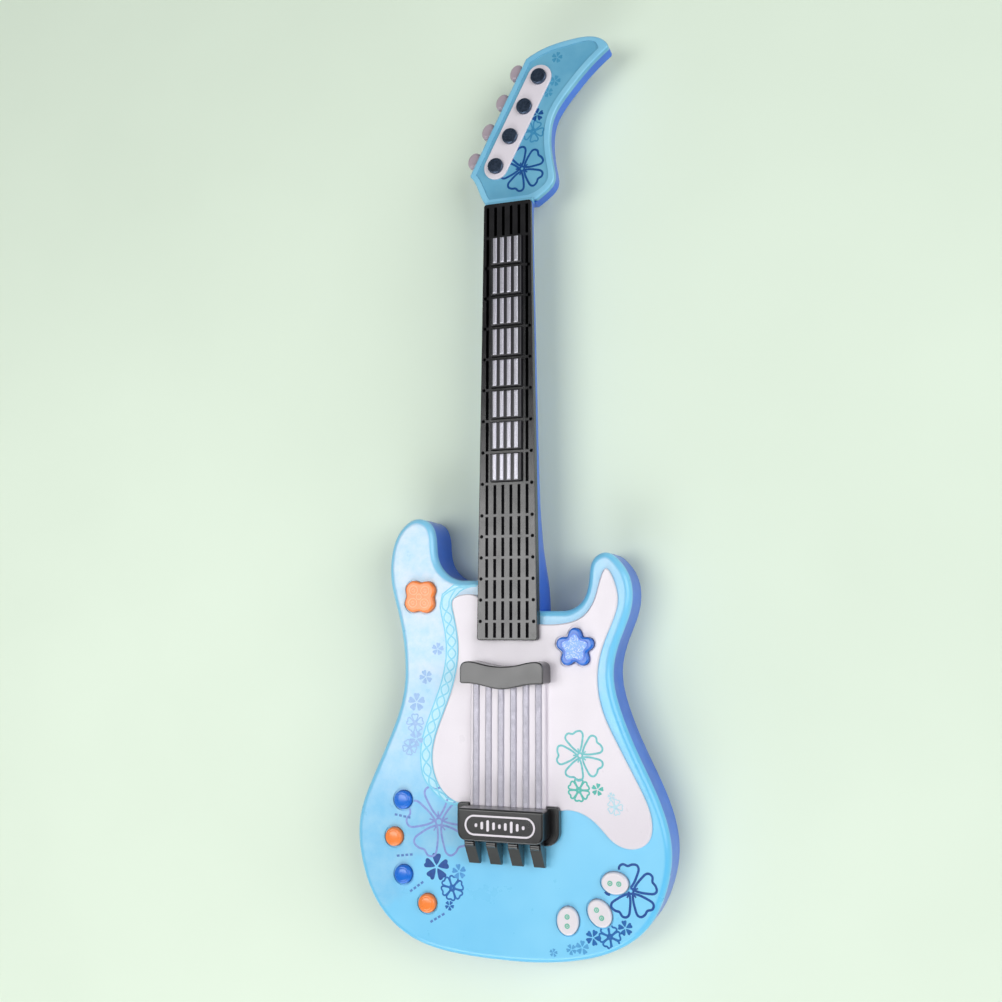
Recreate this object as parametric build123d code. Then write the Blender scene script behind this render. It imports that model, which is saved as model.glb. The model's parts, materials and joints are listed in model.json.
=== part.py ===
"""Toy electric guitar: hollow two-shell body, hollow neck, fret keys, strum levers and sound buttons.

Millimetres. The guitar lies on its back: +Z out of the front face, +Y towards the headstock and +X to the
right as seen from the front. The origin is on the back face, under the neck's centre line.
"""

import math
import os

from build123d import *

# Levels above the back face
FACE_Z = 38.5
SEAM_Z = 32.0
GUARD_Z = 41.0
PANEL_Z = 44.5
STRING_Z = 45.8
BOARD_TOP_Z = 46.0
PICKUP_Z = 58.8
BRIDGE_BASE_Z = 44.5
BRIDGE_Z = 60.5
HEAD_BACK_Z = 23.0
HEAD_SEAM_Z = 34.5
HEAD_FACE_Z = 38.6

# Shells
WALL = 2.4
FACE_ROUND = 4.5
BACK_ROUND = 4.0
GAP = 0.35
POCKET_HALF = 22.6
POCKET_Y = 100.0

# Neck and fretboard
FRET_END_Y = 79.5
NUT_Y = 397.5
HALF_AT_END = 22.3
HALF_AT_NUT = 18.15
KEY_FRET_Y = 190.0
KEY_PITCH = 22.7
KEY_COUNT = 8
LOW_FRETS = (167.3, 152.4, 137.4, 122.5, 107.6, 92.6)
GROOVE_XS = (-15.0, -9.0, -3.0, 3.0, 9.0, 15.0)
GROOVE_W = 2.2
KEY_HALF = 11.5
NECK_RIM = ((POCKET_Y, 39.0), (400.0, 43.5))
# Sections of the neck's back: y, lowest z, and how square the section is
NECK_BACK = (
    (POCKET_Y, 3.0, 8.0), (112, 3.2, 7.0), (124, 6.5, 6.0), (138, 12.5, 4.6), (156, 17.8, 3.6),
    (180, 21.5, 3.0), (220, 23.8, 2.8), (300, 27.0, 2.7), (370, 30.0, 2.7), (386, 29.6, 2.9),
    (400, 25.5, 3.4),
)
KEY_TOP = BOARD_TOP_Z + 3.4
KEY_STEM_Z = 39.6
NECK_BOARD_Z = 33.8

# Headstock
HEAD_ANGLE = 27.4
POST_1 = (22.3, 493.4)
POST_PITCH = 24.25
KNOB_Z = 29.5
EDGE_FROM_POSTS = 16.9

# Electronics
PCB = 1.6
BUTTON_BOARD_Z = 22.0
PAD_H = 2.3
TRAVEL = 1.5
FLANGE = 1.5
STEM_Z = BUTTON_BOARD_Z + PCB + PAD_H + TRAVEL + 0.3

FLOWER_AT = (-68.5, 110.5)
STAR_AT = (48.3, 74.5)
ROUND_AT = ((-80.5, -34.0), (-87.0, -60.0), (-79.5, -85.5), (-61.0, -104.0))
OVALS = (
    (74.0, -80.5, 9.2, 7.2, -5.0),
    (63.4, -100.8, 9.5, 7.5, -55.0),
    (41.4, -107.4, 9.3, 7.5, 90.0),
)
ROUND_R = 6.5
SPEAKER_AT = (-38.0, -52.0)
BAY_AT = (38.0, -80.0)
SWITCH_AT = (38.0, 30.0)
LEVER_XS = (-23.4, -7.8, 7.8, 23.4)
LEVER_HALF = 3.9
LEVER_PIN = (-43.0, 51.0)
PIN_R = 1.5
BAY_X = 25.0
BAY_Y = 31.5
BAY_TOP = 19.0
BOSSES = ((-76, 146), (70, 112), (-68, 78), (56, 50), (-60, 8), (60, 2), (-92, -98), (92, -96), (0, -125))
GUARD_SCREWS = ((-34, 102), (67, 117), (-48, -8), (90, -44))

BODY_LEFT = (
    (-36, 122), (-49, 126.3), (-57, 137.2), (-59.2, 154), (-64, 164.5), (-72.7, 167.8), (-86, 160),
    (-93.2, 143), (-93.3, 120), (-88, 100), (-82.3, 70), (-83, 40), (-93, 10), (-106.5, -20),
    (-116, -48), (-113.4, -80), (-99, -110), (-75, -128.8), (-40, -137), (0, -138.4),
)
BODY_RIGHT = (
    (0, -138.4), (36, -135.8), (69, -127), (93.8, -110), (107.5, -84), (111.2, -60), (104.7, -30),
    (91, 0), (78, 31), (72.8, 58), (77, 78), (85.9, 102.8), (84.8, 123.5), (78, 134.5), (68.4, 140.3),
    (60.5, 136.4), (56.7, 121.6), (50.6, 105.4), (38, 100),
)
GUARD_LEFT = (
    (-24, 110.4), (-36, 111.7), (-42.9, 108), (-42.4, 99), (-38.3, 72), (-42, 48), (-52, 21),
    (-57.6, -2), (-51.5, -23.5), (-38.3, -33.5),
)
GUARD_RIGHT = (
    (36, -35.9), (50, -36), (62, -43), (74, -54.5), (87, -57.8), (97.2, -52.2), (99.5, -41), (91, -17),
    (76.4, 10.6), (66.3, 32.9), (63.2, 57.7), (68.8, 80.5), (77.2, 102), (75.6, 119.7), (69.5, 128.8),
    (66.2, 123), (61.7, 108.1), (53, 96), (40, 91.3), (22, 90.6),
)
HEAD_RIGHT = (
    (18.1, 399), (26, 404.3), (33.2, 412.3), (32.8, 424), (30.5, 443), (32.9, 461), (45.9, 480.5),
    (62, 497.5), (75, 508.2),
)
HEAD_TOP = ((75, 508.2), (73.4, 512), (68.6, 516.4), (46, 519.4), (27.7, 516.6), (11.8, 510))
HEAD_LEFT = ((-32.5, 424.5), (-27.5, 417), (-23, 406), (-18.1, 399))
FIELD_RIGHT = (
    (13, 404), (22.5, 407.6), (28.4, 413.8), (28.3, 424), (26, 443), (28.6, 462.5), (42.3, 483.4),
    (58.6, 500.6), (67.5, 508.3),
)
FIELD_TOP = ((67.5, 508.3), (66.3, 512.1), (46, 514.8), (28.8, 512.2), (15.1, 506.2))
FIELD_LEFT = ((-27.2, 424.6), (-23.4, 418.8), (-18.8, 407.8), (-16.5, 404))


def prism(sketch, z0, z1):
    """A flat sketch raised from z0 to z1."""
    return extrude(Pos(0, 0, z0) * sketch, z1 - z0)


def box(x0, x1, y0, y1, z0, z1):
    """A block between two corners."""
    return Pos((x0 + x1) / 2, (y0 + y1) / 2, (z0 + z1) / 2) * Box(x1 - x0, y1 - y0, z1 - z0)


def rod(at, radius, z0, z1):
    """An upright cylinder."""
    return Pos(at[0], at[1], (z0 + z1) / 2) * Cylinder(radius, z1 - z0)


def closed_face(*edges):
    """A face inside a closed run of edges."""
    return Sketch([Face(Wire(list(edges)))])


def smooth(points, start, end):
    """A curve through the points, with its end directions given."""
    return Spline(*points, tangents=(start, end), tangent_scalars=(1.0, 1.0))


def write(name, shape):
    """Writes one node."""
    export_step(shape, f"parts/{name}.step")


def round_top(solid, radius):
    """Rounds the rim of a solid's highest face."""
    return fillet(solid.faces().sort_by(Axis.Z)[-1].edges(), radius)


def round_bottom(solid, radius):
    """Rounds the rim of a solid's lowest face."""
    return fillet(solid.faces().sort_by(Axis.Z)[0].edges(), radius)


def inset_run(points, start, end, depth):
    """The points of an anticlockwise run, each moved inwards by depth."""
    moved = []
    last = len(points) - 1
    for k, (x, y) in enumerate(points):
        ahead = points[min(k + 1, last)]
        behind = points[max(k - 1, 0)]
        dx, dy = ahead[0] - behind[0], ahead[1] - behind[1]
        if k == 0:
            dx, dy = start
        if k == last:
            dx, dy = end
        size = math.hypot(dx, dy)
        moved.append((x - dy / size * depth, y + dx / size * depth))
    return moved


def body_outline(inset=0.0):
    """The body's plan outline, with a plain slant across the neck pocket."""
    ends_left = ((-1, 0), (1, 0))
    ends_right = ((1, 0), (-1, 0))
    left = inset_run(BODY_LEFT, *ends_left, inset)
    right = inset_run(BODY_RIGHT, *ends_right, inset)
    across = Polyline(right[-1], (16, 100 - inset), (-16, 122 - inset), left[0])
    return closed_face(smooth(left, *ends_left), smooth(right, *ends_right), *across.edges())


def guard_outline():
    """The pickguard's plan outline."""
    left = Spline(*GUARD_LEFT)
    right = Spline(*GUARD_RIGHT)
    low = Line(GUARD_LEFT[-1], GUARD_RIGHT[0])
    high = Line(GUARD_RIGHT[-1], GUARD_LEFT[0])
    return closed_face(left, low, right, high)


def half_width(y):
    """The fretboard's half width at y."""
    share = (y - FRET_END_Y) / (NUT_Y - FRET_END_Y)
    return HALF_AT_END + (HALF_AT_NUT - HALF_AT_END) * share


def board_outline(inset=0.0):
    """The tapered fretboard's plan outline, with its corners eased."""
    low = FRET_END_Y + inset
    high = NUT_Y - inset
    corners = [
        (half_width(low) - inset, low),
        (half_width(high) - inset, high),
        (inset - half_width(high), high),
        (inset - half_width(low), low),
    ]
    face = make_face(Polyline(*corners, close=True))
    return fillet(face.vertices(), 2.0)


def rim_z(y):
    """Height of the neck shell's rim at y."""
    (y0, z0), (y1, z1) = NECK_RIM
    return z0 + (z1 - z0) * (y - y0) / (y1 - y0)


def lobed(radius, depth, blunt, lobes, turn, grow=0.0):
    """A closed outline with rounded lobes, such as a flower or a soft star; blunt fattens the lobes."""
    points = []
    steps = lobes * 6
    for k in range(steps):
        a = 2 * math.pi * k / steps
        r = radius + depth * math.cos(lobes * a) - blunt * math.cos(2 * lobes * a) + grow
        b = a + math.radians(turn)
        points.append((r * math.cos(b), r * math.sin(b)))
    return closed_face(Spline(*points, periodic=True))


def flower_outline(grow=0.0):
    """The flower button's four-lobed outline."""
    return Pos(*FLOWER_AT) * lobed(12.0, 1.4, 0.3, 4, 42.0, grow)


def star_outline(grow=0.0):
    """The star button's soft five-pointed outline."""
    return Pos(*STAR_AT) * lobed(11.8, 2.1, 0.3, 5, 90.0, grow)


def oval_outline(oval, grow=0.0):
    """One oval button's outline."""
    x, y, a, b, turn = oval
    return Pos(x, y) * Rot(0, 0, turn) * Ellipse(a + grow, b + grow)


def pocket(grow=0.0):
    """The neck pocket's plan rectangle, as a block through the whole body."""
    half = POCKET_HALF + grow
    return box(-half, half, POCKET_Y - grow, 150, -1, FACE_Z + 1)


def body_front_shell():
    """Light front half: a shallow cap with the button openings."""
    outer = round_top(prism(body_outline(), SEAM_Z, FACE_Z), FACE_ROUND)
    inner = prism(body_outline(WALL), SEAM_Z - 1, FACE_Z - WALL)
    shell = outer - (inner - pocket(WALL)) - pocket()
    for at in BOSSES:
        shell += rod(at, 3.4, SEAM_Z, FACE_Z - WALL + 0.5)
        shell -= rod(at, 1.2, SEAM_Z - 1, FACE_Z - WALL - 1)
    shell -= prism(flower_outline(GAP), SEAM_Z, FACE_Z + 1)
    shell -= prism(flower_outline(1.6), FACE_Z - 0.8, FACE_Z + 1)
    shell -= prism(star_outline(2.5), SEAM_Z, FACE_Z + 1)
    for at in ROUND_AT:
        shell -= rod(at, ROUND_R + GAP, SEAM_Z, FACE_Z + 1)
        shell -= rod(at, ROUND_R + 1.5, FACE_Z - 0.9, FACE_Z + 1)
    for oval in OVALS:
        shell -= prism(oval_outline(oval, GAP), SEAM_Z, FACE_Z + 1)
        shell -= prism(oval_outline(oval, 1.3), FACE_Z - 0.8, FACE_Z + 1)
    for x in LEVER_XS:
        shell -= box(x - 2.0, x + 2.0, -52.0, -46.0, SEAM_Z, FACE_Z + 1)
    shell -= box(-9, 9, 84, 96, SEAM_Z, FACE_Z + 1)
    return shell


def grille_holes():
    """The speaker grille: rings of round holes."""
    holes = []
    for ring in range(5):
        count = max(1, 6 * ring)
        for k in range(count):
            a = 2 * math.pi * k / count
            at = (SPEAKER_AT[0] + 5 * ring * math.cos(a), SPEAKER_AT[1] + 5 * ring * math.sin(a))
            holes.append(rod(at, 1.4, -1, WALL + 1))
    return holes


def body_back_shell():
    """Blue back half: a deep tray with the grille, battery bay, switch slot and screw bosses."""
    outer = round_bottom(prism(body_outline(), 0, SEAM_Z), BACK_ROUND)
    inner = prism(body_outline(WALL), WALL, SEAM_Z + 1)
    shell = outer - (inner - pocket(WALL))
    for at in BOSSES:
        shell += rod(at, 4.2, WALL - 0.5, SEAM_Z)
    for at in GUARD_SCREWS:
        shell += rod(at, 3.0, WALL - 0.5, 20)
    x, y = BAY_AT
    shell += box(x - BAY_X - 2, x + BAY_X + 2, y - BAY_Y - 2, y + BAY_Y + 2, WALL - 0.5, BAY_TOP + 1.5)
    shell += rod((SPEAKER_AT[0], SPEAKER_AT[1]), 29.5, WALL - 0.5, 5.5)
    shell -= rod((SPEAKER_AT[0], SPEAKER_AT[1]), 27.6, WALL, 6)
    sx, sy = SWITCH_AT
    shell += box(sx - 11, sx + 11, sy - 7, sy + 7, WALL - 0.5, 5)
    shell -= pocket()
    for at in BOSSES:
        shell -= rod(at, 1.6, -1, SEAM_Z + 1)
        shell -= rod(at, 3.1, -1, 8)
    shell -= box(x - BAY_X, x + BAY_X, y - BAY_Y, y + BAY_Y, 2.2, BAY_TOP)
    shell -= box(x - BAY_X - 1.2, x + BAY_X + 1.2, y - BAY_Y - 1.2, y + BAY_Y + 1.2, -1, 2.2)
    shell -= box(sx - 9, sx + 9, sy - 5, sy + 5, -1, 2.5)
    shell -= box(sx - 7, sx + 7, sy - 2.3, sy + 2.3, 2, 6)
    shell -= box(-8, 8, POCKET_Y - WALL - 1, POCKET_Y + 1, 14, 30)
    return shell - grille_holes()


def pickguard():
    """White pickguard lying on the face, cut round the fretboard, the bridge and the star button."""
    guard = prism(guard_outline(), FACE_Z, GUARD_Z)
    guard = chamfer(guard.faces().sort_by(Axis.Z)[-1].edges(), 0.8)
    guard -= prism(board_outline(-0.05), FACE_Z - 1, GUARD_Z + 1)
    guard -= prism(bridge_outline(0.05), FACE_Z - 1, GUARD_Z + 1)
    guard -= prism(star_outline(GAP), FACE_Z - 1, GUARD_Z + 1)
    guard -= prism(star_outline(1.7), GUARD_Z - 0.9, GUARD_Z + 1)
    for at in GUARD_SCREWS:
        guard -= rod(at, 1.2, FACE_Z - 1, GUARD_Z - 0.8)
    return guard


def d_section(y, half, top, z_low, power):
    """One cross-section of the neck: a flat rim with a rounded back."""
    depth = top - z_low
    points = []
    for k in range(13):
        a = math.pi * k / 12
        c = math.cos(a)
        x = math.copysign(abs(c) ** (2 / power), c) * half
        points.append((x, y, top - depth * math.sin(a) ** (2 / power)))
    return Face(Wire([Spline(*points), Line(points[-1], points[0])]))


def neck_loft(inset=0.0, lift=0.0):
    """The neck's solid, or its hollow when inset by the wall and lifted past the rim."""
    sections = []
    for y, z_low, power in NECK_BACK:
        section_y = min(max(y, POCKET_Y + inset), 400 - inset)
        half = half_width(section_y) - inset
        sections.append(d_section(section_y, half, rim_z(section_y) + lift, z_low + inset, power))
    return loft(sections)


def head_outline():
    """The headstock's plan outline."""
    right = Spline(*HEAD_RIGHT)
    top = Spline(*HEAD_TOP)
    edge = Line(HEAD_TOP[-1], HEAD_LEFT[0])
    left = Spline(*HEAD_LEFT)
    low = Line(HEAD_LEFT[-1], HEAD_RIGHT[0])
    face = closed_face(right, top, edge, left, low)
    corners = [v for v in face.vertices() if v.Y > 410]
    return fillet(corners, 2.0)


def head_field():
    """Plan outline of the headstock's flat field and of its hollow."""
    right = Spline(*FIELD_RIGHT)
    top = Spline(*FIELD_TOP)
    edge = Line(FIELD_TOP[-1], FIELD_LEFT[0])
    left = Spline(*FIELD_LEFT)
    low = Line(FIELD_LEFT[-1], FIELD_RIGHT[0])
    return closed_face(right, top, edge, left, low)


def along_head(k):
    """Centre of tuner post k, counted from the headstock's tip."""
    a = math.radians(HEAD_ANGLE)
    x = POST_1[0] - k * POST_PITCH * math.sin(a)
    y = POST_1[1] - k * POST_PITCH * math.cos(a)
    return (x, y)


def knob_place(k):
    """Frame of tuner shaft k: local X points out of the headstock's left edge."""
    x, y = along_head(k)
    return Pos(x, y, KNOB_Z) * Rot(0, 0, 180 - HEAD_ANGLE)


def shaft_bore(k, radius, reach):
    """A cylinder along tuner shaft k, through the headstock's wall."""
    return knob_place(k) * Pos(EDGE_FROM_POSTS - 2, 0, 0) * Rot(0, 90, 0) * Cylinder(radius, reach)


def neck_shell():
    """Blue neck with its heel and the back of the headstock, open at the front."""
    solid = neck_loft()
    neck = solid - neck_loft(inset=2.2, lift=1.0)
    hollow = prism(head_field(), HEAD_BACK_Z + 2.2, HEAD_SEAM_Z + 1)
    tray = prism(head_outline(), HEAD_BACK_Z, HEAD_SEAM_Z) - hollow
    shell = neck + round_bottom(tray, 3.0)
    shell -= box(-12, 12, POCKET_Y - 1, POCKET_Y + 4, 14, 30)
    for y in (130, 250, 374):
        shell += solid & box(-30, 30, y, y + 2, 0, NECK_BOARD_Z)
    for k in range(4):
        shell -= shaft_bore(k, 2.05, 10)
    return shell


def headstock_front():
    """Light front of the headstock, with a raised border round a flat field."""
    front = prism(head_outline(), HEAD_SEAM_Z, HEAD_FACE_Z)
    front -= prism(head_field(), HEAD_FACE_Z - 0.8, HEAD_FACE_Z + 1)
    border = front.faces().sort_by(Axis.Z)[-1]
    front = fillet(border.outer_wire().edges(), 1.6)
    for k in range(4):
        front -= rod(along_head(k), 2.0, HEAD_SEAM_Z, HEAD_FACE_Z + 1)
    return front - box(-30, 30, 390, 400.1, 20, 46)


def tuner_plate():
    """White stadium plate under the tuner posts."""
    low, high = along_head(3), along_head(0)
    middle = ((low[0] + high[0]) / 2, (low[1] + high[1]) / 2)
    plan = Pos(*middle) * Rot(0, 0, 90 - HEAD_ANGLE) * SlotOverall(92, 18.6)
    plate = round_top(prism(plan, HEAD_FACE_Z - 0.8, HEAD_FACE_Z + 0.7), 0.6)
    for k in range(4):
        plate -= rod(along_head(k), 2.0, HEAD_SEAM_Z, HEAD_FACE_Z + 2)
    return plate


def tuner_post(k):
    """One round post, with its spigot through the plate."""
    base = HEAD_FACE_Z + 0.7
    post = rod(along_head(k), 5.9, base, base + 2.6)
    post = round_top(post, 0.9)
    post -= rod(along_head(k), 3.9, base + 2.3, base + 3)
    return post + rod(along_head(k), 1.9, HEAD_SEAM_Z + 0.4, base + 0.5)


def tuner_knob(k):
    """An oval tuner knob on its shaft, which turns in the headstock's wall."""
    paddle = extrude(Ellipse(4.9, 6.3), 3.4, both=True)
    paddle = fillet(paddle.edges().filter_by(GeomType.ELLIPSE), 2.2)
    knob = Pos(EDGE_FROM_POSTS + 5.6, 0, 0) * paddle
    knob += Pos(EDGE_FROM_POSTS - 1.9, 0, 0) * Rot(0, 90, 0) * Cylinder(2.0, 11)
    knob += Pos(EDGE_FROM_POSTS - 6.6, 0, 0) * Rot(0, 90, 0) * Cylinder(3.2, 1.6)
    return knob_place(k) * knob


def key_centre(k):
    """Y of fret key k, counted from the body end."""
    return KEY_FRET_Y + (k + 0.5) * KEY_PITCH


def groove(x, y0, y1):
    """A groove along the fretboard's top."""
    return box(x - GROOVE_W / 2, x + GROOVE_W / 2, y0, y1, BOARD_TOP_Z - 0.9, BOARD_TOP_Z + 1)


def fretboard():
    """Black fretboard: a hollow cap with string grooves, fret bars and the key windows."""
    board = round_top(prism(board_outline(), 36, BOARD_TOP_Z), 0.6)
    board -= prism(board_outline(1.9), 35, BOARD_TOP_Z - 2.2)
    (y0, z0), (y1, z1) = NECK_RIM
    below = Plane.YZ * make_face(Polyline((y0, z0), (y1, z1), (y1, 30), (y0, 30), close=True))
    board -= extrude(below, 40, both=True)
    board -= box(-40, 40, FRET_END_Y - 1, POCKET_Y, 30, FACE_Z)
    frets = list(LOW_FRETS[::-1]) + [KEY_FRET_Y + k * KEY_PITCH for k in range(KEY_COUNT + 1)]
    for x in GROOVE_XS:
        for low, high in zip([FRET_END_Y + 0.8] + frets, frets + [NUT_Y - 2]):
            if abs(x) < 12 and KEY_FRET_Y - 1 < low < KEY_FRET_Y + KEY_COUNT * KEY_PITCH - 1:
                continue
            board -= groove(x, low + 0.9, high - 0.9)
    for k in range(KEY_COUNT):
        y = key_centre(k)
        half = KEY_HALF + GAP
        board -= box(-half, half, y - KEY_PITCH / 2 + 0.9, y + KEY_PITCH / 2 - 0.9, 40, 50)
    for y in frets[:-1]:
        for side in (-1, 1):
            board -= rod((side * (half_width(y) - 2.4), y), 1.25, BOARD_TOP_Z - 0.5, BOARD_TOP_Z + 1)
    return board


def fret_key(k):
    """One fret key: a cap with four raised ribs, a flange under the board and a stem."""
    y = key_centre(k)
    half_len = KEY_PITCH / 2 - 0.9 - GAP
    cap = box(-KEY_HALF, KEY_HALF, y - half_len, y + half_len, 42.0, KEY_TOP)
    cap = round_top(cap, 0.8)
    for x in (-8.0, -2.67, 2.67, 8.0):
        rib = box(x - 1.5, x + 1.5, y - half_len + 0.7, y + half_len - 0.7, KEY_TOP - 0.5, KEY_TOP + 1.3)
        cap += round_top(rib, 0.8)
    cap += box(-KEY_HALF - 1.2, KEY_HALF + 1.2, y - half_len, y + half_len, 42.0, 43.4)
    return cap + rod((0, y), 3.0, KEY_STEM_Z, 42.5)


def fret_key_pads():
    """Rubber domes under the fret keys."""
    pads = []
    for k in range(KEY_COUNT):
        top = NECK_BOARD_Z + PCB + 2.2
        dome = rod((0, key_centre(k)), 4.0, NECK_BOARD_Z + PCB, top)
        pads.append(round_top(dome, 1.2))
    return Compound(pads)


def neck_board():
    """Long circuit board under the fret keys."""
    first, last = KEY_FRET_Y, KEY_FRET_Y + KEY_COUNT * KEY_PITCH
    return box(-8, 8, first - 12, last, NECK_BOARD_Z, NECK_BOARD_Z + PCB)


def string_panel():
    """White raised panel under the strings."""
    panel = box(-27.5, 27.5, -34.45, 52, GUARD_Z, PANEL_Z)
    rim = panel.edges().filter_by(Axis.Y).group_by(Axis.Z)[-1]
    return fillet(rim, 1.2) - prism(pickup_outline(), GUARD_Z - 1, PANEL_Z + 1)


def strings():
    """Six flat moulded strings along the panel."""
    bars = []
    above = prism(pickup_outline(), PANEL_Z - 1, STRING_Z + 1)
    for k in range(6):
        x = (k - 2.5) * 9.1
        bar = box(x - 2.25, x + 2.25, -33.85, 52, PANEL_Z, STRING_Z)
        bar = fillet(bar.edges().filter_by(Axis.Y).group_by(Axis.Z)[-1], 0.9)
        bars.append(bar - above)
    return Compound([solid for bar in bars for solid in bar.solids()])


def pickup_outline():
    """Pickup outline: dipped along the top, bulging along the bottom, rounded upper corners."""
    low = smooth(((-30.2, 50), (-18, 49.3), (0, 46.2), (18, 49.3), (30.2, 50)), (1, 0), (1, 0))
    right = Line((30.2, 50), (30.2, 60))
    corner_r = smooth(((30.2, 60), (28.8, 63.6), (24, 65.1)), (0, 1), (-1, 0))
    high = smooth(((24, 65.1), (12, 62.9), (0, 61.7), (-12, 62.9), (-24, 65.1)), (-1, 0), (-1, 0))
    corner_l = smooth(((-24, 65.1), (-28.8, 63.6), (-30.2, 60)), (-1, 0), (0, -1))
    left = Line((-30.2, 60), (-30.2, 50))
    face = closed_face(low, right, corner_r, high, corner_l, left)
    return fillet([v for v in face.vertices() if v.Y < 51], 1.5)


def pickup_cover():
    """Tall gloss pickup cover at the strings' upper end."""
    cover = round_top(prism(pickup_outline(), GUARD_Z, PICKUP_Z), 0.9)
    cover -= box(-27, 27, 51.5, 59.5, GUARD_Z - 1, PICKUP_Z - 2)
    return cover


def bridge_outline(grow=0.0):
    """The bridge base's plan outline, with two ears past its upper edge."""
    plan = Pos(0, -45.7) * Rectangle(73.8 + 2 * grow, 26.2 + 2 * grow)
    plan = fillet(plan.vertices().group_by(Axis.Y)[0], 9.0)
    plan = fillet(plan.vertices().group_by(Axis.Y)[-1], 2.5)
    return plan - Pos(0, -20) * Rectangle(56.0 - 2 * grow, 28.9 - 2 * grow)


def bridge_base():
    """Black base of the bridge."""
    base = round_top(prism(bridge_outline(), FACE_Z, BRIDGE_BASE_Z), 0.9)
    for x in LEVER_XS:
        base -= box(x - 2.0, x + 2.0, -52.0, -46.0, FACE_Z - 1, BRIDGE_BASE_Z + 1)
    return base


def bridge_block():
    """Tall hollow bridge block, open below, with a slot for each strum lever."""
    plan = Pos(0, -44.7) * Rectangle(61, 21.6)
    plan = fillet(plan.vertices().group_by(Axis.Y)[0], 6.0)
    plan = fillet(plan.vertices().group_by(Axis.Y)[-1], 1.5)
    block = round_top(prism(plan, BRIDGE_BASE_Z, BRIDGE_Z), 1.4)
    block -= box(-28.2, 28.2, -53.2, -36.2, BRIDGE_BASE_Z - 1, BRIDGE_Z - 2.2)
    for x in LEVER_XS:
        half = LEVER_HALF + GAP
        block -= box(x - half, x + half, -60, -53, BRIDGE_BASE_Z - 1, 57.4)
    for x in (-15.6, 0, 15.6):
        rib = box(x - 1, x + 1, -47.5, -36, BRIDGE_BASE_Z, BRIDGE_Z - 2)
        block += rib
    for x in (-27.9, 27.9):
        block += box(x - 0.5, x + 0.5, -47.5, -36, BRIDGE_BASE_Z, BRIDGE_Z - 2)
    return block - lever_pin_solid(PIN_R)


def lever_pin_solid(radius):
    """A rod along the strum levers' hinge line."""
    return Pos(0, *LEVER_PIN) * Rot(0, 90, 0) * Cylinder(radius, 58.6)


def strum_lever(x):
    """One strum lever: a wedge with a knuckle on top, hinged on the pin inside the bridge."""
    profile = Polyline(
        (-39.8, 49.2), (-39.8, 53.2), (-44, 54.2), (-55.6, 55.4), (-59.6, 54.6), (-72.9, 45.4),
        (-73.2, 42.0), (-60.4, 42.4), (-59.9, 46.2), (-56, 47.0), close=True,
    )
    arm = extrude(Plane.YZ * make_face(profile), LEVER_HALF, both=True)
    arm = fillet(arm.edges().filter_by(Axis.X).sort_by(Axis.Y)[:2], 0.8)
    knuckle = Pos(0, -57.6, 54.0) * Rot(0, 90, 0) * Cylinder(2.5, 2 * LEVER_HALF - 1.6)
    lever = arm + knuckle
    lever = Pos(x, 0, 0) * lever
    return lever - lever_pin_solid(PIN_R + 0.06)


def bridge_badge():
    """Plain raised badge on the bridge: a rounded frame round nine sound bars."""
    frame = Pos(0, -44.7) * SlotOverall(50, 13.6)
    frame -= Pos(0, -44.7) * SlotOverall(47.6, 11.2)
    marks = [prism(frame, BRIDGE_Z, BRIDGE_Z + 0.5)]
    for k, height in enumerate((2.5, 5, 7.5, 5, 3, 5, 7.5, 5, 2.5)):
        bar = Pos((k - 4) * 4.2, -44.7) * SlotOverall(height, 1.8, rotation=90)
        marks.append(prism(bar, BRIDGE_Z, BRIDGE_Z + 0.5))
    return Compound([solid for mark in marks for solid in mark.solids()])


def stemmed(cap, at, flange, flange_top=FACE_Z - WALL - 0.3):
    """A button: its cap, the flange that keeps it in and the stem over its pad."""
    button = cap + prism(flange, flange_top - FLANGE, flange_top)
    return button + rod(at, 3.0, STEM_Z, flange_top - 0.2)


def flower_button():
    """Four-lobed button in the upper left of the face."""
    cap = round_top(prism(flower_outline(), FACE_Z - 4, FACE_Z + 3.6), 1.6)
    return stemmed(cap, FLOWER_AT, flower_outline(1.3))


def star_button():
    """Soft star button on the pickguard."""
    cap = round_top(prism(star_outline(), FACE_Z - 4, GUARD_Z + 3.4), 1.5)
    return stemmed(cap, STAR_AT, star_outline(1.5))


def round_button(k):
    """One round button."""
    at = ROUND_AT[k]
    cap = round_top(rod(at, ROUND_R, FACE_Z - 4, FACE_Z + 3.0), 1.8)
    return stemmed(cap, at, Pos(*at) * Circle(ROUND_R + 1.5))


def oval_button(oval):
    """One oval button with a gently rounded top."""
    cap = round_top(prism(oval_outline(oval), FACE_Z - 4, FACE_Z + 2.8), 1.5)
    return stemmed(cap, oval[:2], oval_outline(oval, 1.3))


def button_places():
    """Centres of every face button."""
    return [FLOWER_AT, STAR_AT, *ROUND_AT, *[oval[:2] for oval in OVALS]]


def button_pads():
    """Rubber domes under the face buttons."""
    low = BUTTON_BOARD_Z + PCB
    pads = [round_top(rod(at, 4.5, low, low + PAD_H), 1.2) for at in button_places()]
    return Compound(pads)


def button_boards():
    """Four small boards under the groups of buttons."""
    z0, z1 = BUTTON_BOARD_Z, BUTTON_BOARD_Z + PCB
    flower = rod(FLOWER_AT, 13, z0, z1)
    star = rod(STAR_AT, 13, z0, z1)
    left = prism(make_face(Polyline((-98, -50), (-88, -26), (-72, -26), (-70, -75), (-50, -98),
                                    (-54, -114), (-72, -110), (-88, -90), close=True)), z0, z1)
    right = prism(make_face(Polyline((32, -116), (32, -98), (52, -98), (62, -72), (84, -72),
                                     (84, -88), (72, -110), (52, -117), close=True)), z0, z1)
    return Compound([flower, star, left, right])


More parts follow.
